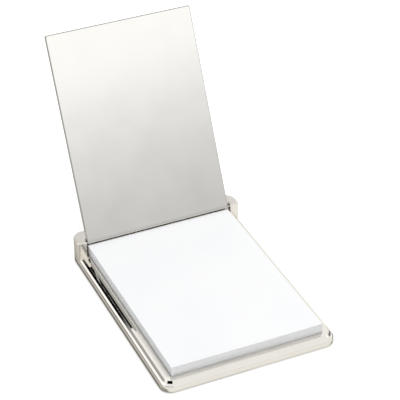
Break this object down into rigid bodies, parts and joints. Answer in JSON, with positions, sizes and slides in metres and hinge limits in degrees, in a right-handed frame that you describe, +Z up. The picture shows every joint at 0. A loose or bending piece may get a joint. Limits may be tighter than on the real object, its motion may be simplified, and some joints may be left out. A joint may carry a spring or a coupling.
{
  "type": "desk memo pad holder",
  "caption": "Polished metal desk tray for a block of note paper, with a flip-up cover plate hinged between two posts at the rear corners.",
  "frame": {"origin": "on the table under the middle of the box of the whole object, with the cover open at its stop", "axes": "+X to the right across the pad, +Y to the rear where the hinge is, +Z up"},
  "size_m": [0.0924, 0.1642, 0.1113],
  "materials": {
    "polished_nickel": "mirror-polished nickel plate over cast metal",
    "satin_nickel": "finely polished nickel plate with a soft sheen",
    "screw_steel": "zinc-plated steel, turned",
    "pin_steel": "ground steel dowel",
    "paper": "uncoated white writing paper",
    "greyboard": "recycled greyboard",
    "gum": "flexible padding glue",
    "felt": "black wool felt"
  },
  "bodies": {
    "holder": {"tray": "polished_nickel", "base_felt": "felt", "hinge_post_left": "polished_nickel", "hinge_post_right": "polished_nickel", "stop_rail": "polished_nickel", "post_screw_left_front": "screw_steel", "post_screw_left_rear": "screw_steel", "post_screw_right_front": "screw_steel", "post_screw_right_rear": "screw_steel", "rail_screw_left": "screw_steel", "rail_screw_right": "screw_steel", "pad_backing_board": "greyboard", "paper_block": "paper", "top_sheet": "paper", "pad_gum_strip": "gum"},
    "cover": {"cover_plate": "satin_nickel", "hinge_pin_left": "pin_steel", "hinge_pin_right": "pin_steel"}
  },
  "joints": [
    {"name": "cover_hinge", "type": "hinge", "parent": "holder", "child": "cover", "pos_m": [0, 0.03347, 0.0129], "axis": [1, 0, 0], "range_deg": [0, 116]}
  ]
}
